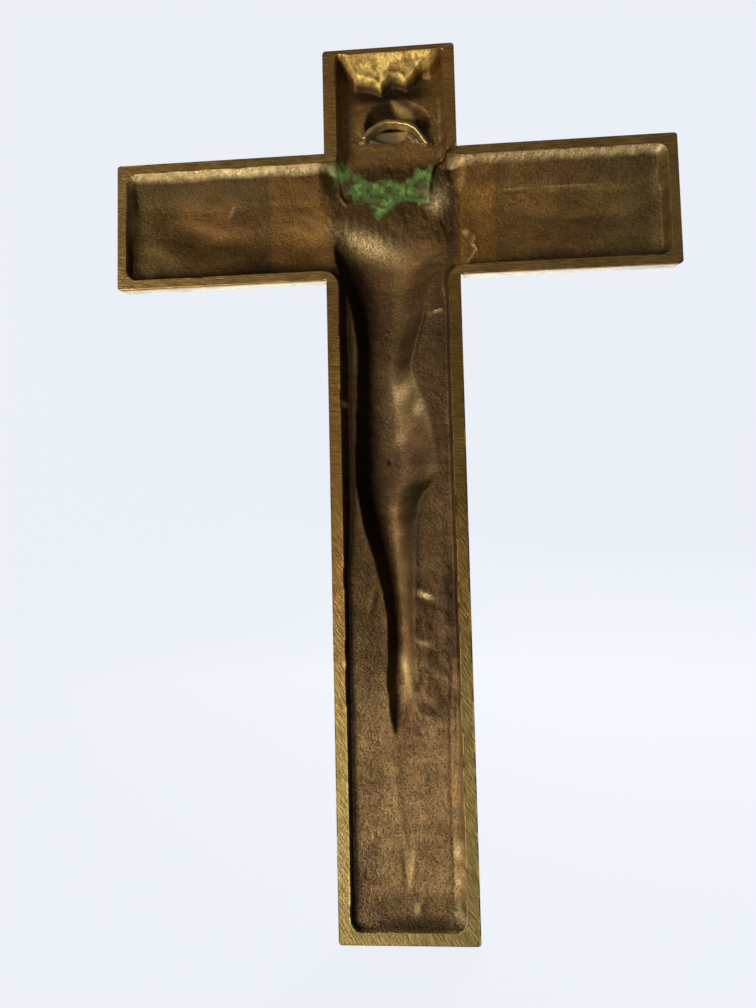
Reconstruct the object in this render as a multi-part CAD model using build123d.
from build123d import *
import os

# Wall crucifix in cast brass, in millimetres. +Z is up. The back of the cross lies in the plane Y = 0
# and faces +Y, and the figure stands out towards -Y. The origin is the nail's point on the wall plane,
# under the hanger's crown.

# Driving dimensions of the cross, measured on its back plane.
HEIGHT = 200.0
SPAN = 128.0
SHAFT_WIDTH = 30.4
ARM_HEIGHT = 29.8
ARM_AXIS_ABOVE_FOOT = 160.6
NAIL_ABOVE_ARM_AXIS = 21.3

# Section of the castings: a tray with its open side at the back.
PLATE_DEPTH = 5.6
FLOOR = 1.5
RECESS = PLATE_DEPTH - FLOOR
DRAFT_INSET = 0.8
WALL_SLOPE = 1.2
SHAFT_RIM = 2.75
FOOT_RIM = 2.7
ARM_RIM = 2.25
ARM_END_RIM = 2.2
TOP_RIM = 1.3
TOP_WALL_SLOPE = 6.2
CROSSING_CORNER_RADIUS = 4.0

# Joints between the castings.
JOINT_GAP = 0.35
ARM_JOINT_X = 16.2

# Corners of the top limb's tongue in the crossing: X, and height against the arm axis.
TONGUE = [
    (-12.4, 13.5),
    (-10.0, 11.0),
    (-9.0, 1.6),
    (-3.0, 1.0),
    (4.5, -0.6),
    (10.4, 3.0),
    (11.8, 10.0),
    (12.6, 13.6),
]

# The figure, cast as a shell.
SHELL = 1.3
OPENING_INSET = 0.4
HOLLOW_INSET = 1.5

# Hanger: a strap bent into a flat arch, standing on edge on the floor.
STRAP_THICKNESS = 1.0
STRAP_BACK = 1.3
STRAP_DEPTH = RECESS - STRAP_BACK
LOOP_HALF_SPAN = 7.3
LOOP_RISE = 4.0
FOOT_WIDTH = 1.8
FOOT_OVERLAP = 0.15
FOOT_BELOW = 0.6
FOOT_ABOVE = 0.9
SOLDER_RADIUS = 2.3
SOLDER_HEIGHT = 1.5
SOLDER_SQUASH = 0.8

ARM_Z = -NAIL_ABOVE_ARM_AXIS
FOOT_Z = ARM_Z - ARM_AXIS_ABOVE_FOOT
TOP_Z = FOOT_Z + HEIGHT
HALF_SHAFT = SHAFT_WIDTH / 2
HALF_ARM = ARM_HEIGHT / 2
HALF_SPAN = SPAN / 2
OVER = 1.0

# Stations down the body: height against the arm axis, centre, half width, relief in front of the plate.
BODY_STATIONS = [
    (8.0, 0.0, 3.4, 3.2),
    (3.0, 0.0, 8.4, 5.0),
    (-3.0, 0.0, 11.2, 6.4),
    (-14.0, 0.0, 10.6, 7.6),
    (-24.0, 0.0, 8.8, 6.6),
    (-33.0, 0.0, 7.8, 5.4),
    (-44.0, -0.4, 9.4, 6.6),
    (-56.0, -0.8, 10.0, 7.2),
    (-66.0, 0.2, 7.6, 7.0),
    (-78.0, 0.8, 6.0, 7.2),
    (-90.0, 0.8, 5.0, 5.6),
    (-104.0, 0.6, 3.7, 4.6),
    (-113.0, 0.4, 3.9, 5.2),
    (-119.0, 0.4, 1.6, 2.2),
]

# Stations along an arm: distance from the centre line, height against the arm axis, half height, relief.
ARM_STATIONS = [
    (9.0, -3.0, 3.9, 5.0),
    (17.0, -2.6, 3.5, 4.6),
    (26.0, -1.2, 3.0, 4.2),
    (35.0, 0.6, 2.6, 3.7),
    (44.0, 2.4, 2.0, 3.0),
    (48.0, 3.2, 2.7, 2.8),
    (53.0, 4.2, 2.8, 2.4),
    (57.0, 5.0, 1.2, 1.2),
]

# Head, with the mass of hair round it, and the scroll above.
HEAD_X = -1.0
HEAD_Z = ARM_Z + 20.2
HEAD_SIZE = (6.4, 7.0, 9.0)
HEAD_AXIS_DEPTH = PLATE_DEPTH + 2.6
HEAD_TILT = 12.0
NECK_RADIUS = 3.4
NECK_AXIS_DEPTH = PLATE_DEPTH + 1.2
NECK_TOP_Z = ARM_Z + 14.0
NECK_FOOT_Z = ARM_Z + 2.0
HEAD_HOLLOW = (8.0, 4.2, 4.8)
HEAD_HOLLOW_Z = ARM_Z + 21.5
HEAD_COLLAR = 1.1
HAIR_SIZE = (9.6, 6.4, 8.2)
HAIR_Z = ARM_Z + 20.6
SCROLL_Z = ARM_Z + 34.6
SCROLL_SIZE = (17.0, 1.3, 5.0)
SCROLL_ROLL_RADIUS = 1.1
SCROLL_ROLL_EXTRA = 1.0


def depth_plane(depth):
    """Plane parallel to the wall, the given depth in front of the back plane; its axes are X and Z."""
    return Plane.XZ.offset(depth)


def plan_face(points, depth):
    return depth_plane(depth) * make_face(Polyline(*points, close=True))


def rectangle_points(x0, x1, z0, z1):
    return [(x0, z0), (x1, z0), (x1, z1), (x0, z1)]


def tapered_block(back, front, depth_back, depth_front):
    """Block between a rectangle nearer the wall and a smaller one in front; each is (x0, x1, z0, z1)."""
    wide = plan_face(rectangle_points(*back), depth_back)
    narrow = plan_face(rectangle_points(*front), depth_front)
    return loft([wide, narrow], ruled=True)


def prism(face_points, depth_back, depth_front):
    """Straight block of a plan outline between two depths."""
    return extrude(plan_face(face_points, depth_back), amount=depth_front - depth_back)


def inset(rect, amount):
    x0, x1, z0, z1 = rect
    return (x0 + amount, x1 - amount, z0 + amount, z1 - amount)


def cross_blank():
    """The cross without its recess: sides drawn in towards the front."""
    shaft = (-HALF_SHAFT, HALF_SHAFT, FOOT_Z, TOP_Z)
    arms = (-HALF_SPAN, HALF_SPAN, ARM_Z - HALF_ARM, ARM_Z + HALF_ARM)
    body = tapered_block(shaft, inset(shaft, DRAFT_INSET), 0, PLATE_DEPTH)
    return body + tapered_block(arms, inset(arms, DRAFT_INSET), 0, PLATE_DEPTH)


def recess_block(rect, slopes):
    """Recess from behind the back plane to the floor; slopes (left, right, low, high) draw its walls in."""
    x0, x1, z0, z1 = rect
    left, right, low, high = slopes
    floor_rect = (x0 + left, x1 - right, z0 + low, z1 - high)
    straight = prism(rectangle_points(*rect), -OVER, 0)
    return straight + tapered_block(rect, floor_rect, 0, RECESS)


def crossing_corner(side):
    """Rounded inner corner under an arm, where the rim of the shaft turns into the rim of the arm."""
    x = side * (HALF_SHAFT - SHAFT_RIM)
    z = ARM_Z - HALF_ARM + ARM_RIM
    r = CROSSING_CORNER_RADIUS
    corner = make_face(Polyline((x, z), (x + side * r, z), (x, z - r), close=True))
    disc = Pos(x + side * r, z - r) * Circle(r)
    outline = depth_plane(-OVER) * (corner - disc)
    return extrude(outline, amount=OVER + RECESS)


def recess():
    slope = WALL_SLOPE
    x_shaft = HALF_SHAFT - SHAFT_RIM
    x_span = HALF_SPAN - ARM_END_RIM
    z_arm = HALF_ARM - ARM_RIM
    shaft = recess_block((-x_shaft, x_shaft, FOOT_Z + FOOT_RIM, ARM_Z + z_arm), (slope, slope, slope, slope))
    top = recess_block((-x_shaft, x_shaft, ARM_Z, TOP_Z - TOP_RIM), (slope, slope, 0, TOP_WALL_SLOPE))
    arms = recess_block((-x_span, x_span, ARM_Z - z_arm, ARM_Z + z_arm), (slope, slope, slope, slope))
    return shaft + top + arms + crossing_corner(-1) + crossing_corner(1)


def tongue_points():
    """Top limb and the tongue that it sends down into the crossing, in plan."""
    up = TOP_Z + OVER
    shoulder = ARM_Z + HALF_ARM
    side = HALF_SHAFT + OVER
    left = [(-side, up), (-side, shoulder), (-HALF_SHAFT, shoulder)]
    tongue = [(x, ARM_Z + rise) for x, rise in TONGUE]
    right = [(HALF_SHAFT, shoulder), (side, shoulder), (side, up)]
    return left + tongue + right


def side_slab(side, inner, outer):
    """Everything between two distances from the centre line on one side."""
    x0, x1 = sorted((side * inner, side * outer))
    reach = HALF_ARM + OVER
    return prism(rectangle_points(x0, x1, ARM_Z - reach, ARM_Z + reach), -OVER, PLATE_DEPTH + OVER)


def joint_ring(face, gap):
    """Band of the given width round the outside of a plan face, through the whole plate."""
    band = offset(face, gap, kind=Kind.INTERSECTION) - face
    return extrude(depth_plane(-OVER) * band, amount=PLATE_DEPTH + 2 * OVER)


def body_loft(stations, width_change, depth_change, axis_depth):
    """Smooth body through elliptical stations whose centres lie axis_depth in front of the back plane."""
    sections = []
    for rise, centre, half_width, relief in stations:
        place = Plane(origin=(centre, -axis_depth, ARM_Z + rise), x_dir=(1, 0, 0), z_dir=(0, 0, 1))
        sections.append(place * Ellipse(half_width + width_change, relief + depth_change))
    return loft(sections)


def arm_loft(stations, side):
    sections = []
    for distance, rise, half_height, relief in stations:
        place = Plane(origin=(side * distance, -PLATE_DEPTH, ARM_Z + rise), x_dir=(0, 1, 0), z_dir=(1, 0, 0))
        sections.append(place * Ellipse(relief, half_height))
    return loft(sections)


def front_half(solid):
    """The part of a solid that lies in front of the plate."""
    size = 3 * HEIGHT
    return solid & (Pos(0, -PLATE_DEPTH - size / 2, 0) * Box(size, size, size))


def body_opening():
    """Figure-shaped opening through the floor, for the shell of the body."""
    right = [(c + w - OPENING_INSET, ARM_Z + z) for z, c, w, _ in BODY_STATIONS]
    left = [(c - w + OPENING_INSET, ARM_Z + z) for z, c, w, _ in reversed(BODY_STATIONS)]
    outline = Polyline(*(right + left), close=True)
    return extrude(depth_plane(RECESS) * make_face(outline), amount=FLOOR)


def head_opening():
    """Oval opening through the floor behind the head."""
    a, _, c = HEAD_HOLLOW
    oval = Pos(HEAD_X, HEAD_HOLLOW_Z) * Ellipse(a + HEAD_COLLAR, c + HEAD_COLLAR)
    return extrude(depth_plane(RECESS) * oval, amount=FLOOR)


def ellipsoid(half_sizes, centre):
    return Pos(*centre) * scale(Sphere(1.0), by=half_sizes)


def corpus_body():
    outer = front_half(body_loft(BODY_STATIONS, 0, 0, PLATE_DEPTH)) + body_opening()
    hollow = body_loft(BODY_STATIONS[2:-1], -HOLLOW_INSET, FLOOR - SHELL, RECESS)
    return outer - hollow


def corpus_head(body):
    skull = ellipsoid(HEAD_SIZE, (0, 0, 0))
    head = Pos(HEAD_X, -HEAD_AXIS_DEPTH, HEAD_Z) * Rot(0, -HEAD_TILT, 0) * skull
    hair = ellipsoid(HAIR_SIZE, (HEAD_X, -PLATE_DEPTH, HAIR_Z))
    neck_length = NECK_TOP_Z - NECK_FOOT_Z
    neck_place = Pos(0, -NECK_AXIS_DEPTH, (NECK_TOP_Z + NECK_FOOT_Z) / 2)
    neck = neck_place * Cylinder(NECK_RADIUS, neck_length)
    solid = front_half(head + hair + neck) + head_opening()
    hollow = ellipsoid(HEAD_HOLLOW, (HEAD_X, -RECESS, HEAD_HOLLOW_Z))
    return solid - hollow - body


def corpus_arm(side, body):
    """Arm on the front of the cross arm; what would lie inside the shell of the body is dropped."""
    return (front_half(arm_loft(ARM_STATIONS, side)) - body).solids().sort_by(SortBy.VOLUME)[-1]


def titulus_scroll(head):
    width, thickness, height = SCROLL_SIZE
    face = PLATE_DEPTH
    plate = Pos(0, -face - thickness / 2, SCROLL_Z) * Box(width, thickness, height)
    rolls = []
    for side in (-1, 1):
        place = Pos(side * width / 2, -face - SCROLL_ROLL_RADIUS, SCROLL_Z)
        rolls.append(place * Cylinder(SCROLL_ROLL_RADIUS, height + SCROLL_ROLL_EXTRA))
    return plate + rolls[0] + rolls[1] - head


def hanger_loop():
    """Arched strap whose underside touches the nail at the origin's height, with two feet on the floor."""
    chord = LOOP_HALF_SPAN
    radius = (chord ** 2 + LOOP_RISE ** 2) / (2 * LOOP_RISE)
    outer = radius + STRAP_THICKNESS
    ring = Pos(0, -radius) * (Circle(outer) - Circle(radius))
    keep = Pos(0, -LOOP_RISE + HEIGHT / 2) * Rectangle(HEIGHT, HEIGHT)
    strap = extrude(depth_plane(STRAP_BACK) * (ring & keep), amount=STRAP_DEPTH)
    foot_low, foot_high = -LOOP_RISE - FOOT_BELOW, -LOOP_RISE + FOOT_ABOVE
    for side in (-1, 1):
        x = side * (chord + FOOT_WIDTH / 2 - FOOT_OVERLAP)
        outline = rectangle_points(x - FOOT_WIDTH / 2, x + FOOT_WIDTH / 2, foot_low, foot_high)
        strap += prism(outline, STRAP_BACK, RECESS)
    return strap


def hanger_solder(loop):
    """Two low fillets of solder round the feet of the loop."""
    blobs = []
    for side in (-1, 1):
        x = side * (LOOP_HALF_SPAN + FOOT_WIDTH / 2)
        half_sizes = (SOLDER_RADIUS, SOLDER_HEIGHT, SOLDER_RADIUS * SOLDER_SQUASH)
        dome = ellipsoid(half_sizes, (x, -RECESS, -LOOP_RISE))
        above_floor = Pos(0, -RECESS + HEIGHT / 2, 0) * Box(HEIGHT, HEIGHT, HEIGHT)
        blobs.append(dome & above_floor)
    return (blobs[0] + blobs[1]) - loop


def castings():
    """The four hollow-backed castings and the filler metal between them."""
    tray = cross_blank() - recess() - body_opening() - head_opening()
    tongue = make_face(Polyline(*tongue_points(), close=True))
    tongue_block = extrude(depth_plane(-OVER) * tongue, amount=PLATE_DEPTH + 2 * OVER)
    seam_block = joint_ring(tongue, JOINT_GAP)
    joint_inner = ARM_JOINT_X - JOINT_GAP
    joint = {side: side_slab(side, joint_inner, ARM_JOINT_X) for side in (-1, 1)}
    arm = {side: side_slab(side, ARM_JOINT_X, HALF_SPAN + OVER) for side in (-1, 1)}
    side_parts = joint[-1] + joint[1] + arm[-1] + arm[1]
    return {
        "top_limb_casting": tray & tongue_block,
        "top_joint_braze": (tray & seam_block) - side_parts,
        "left_arm_casting": tray & arm[-1],
        "right_arm_casting": tray & arm[1],
        "left_joint_braze": tray & joint[-1],
        "right_joint_braze": tray & joint[1],
        "shaft_casting": tray - side_parts - tongue_block - seam_block,
    }


def build():
    parts = castings()
    body = corpus_body()
    head = corpus_head(body)
    loop = hanger_loop()
    parts["corpus_body"] = body
    parts["corpus_head"] = head
    parts["corpus_left_arm"] = corpus_arm(-1, body)
    parts["corpus_right_arm"] = corpus_arm(1, body)
    parts["titulus_scroll"] = titulus_scroll(head)
    parts["hanger_loop"] = loop
    parts["hanger_solder"] = hanger_solder(loop)
    return parts


os.makedirs("parts", exist_ok=True)
for name, shape in build().items():
    shape.label = name
    export_step(shape, f"parts/{name}.step")
    print(name, len(shape.solids()), "solids", round(shape.volume, 1), "mm3")
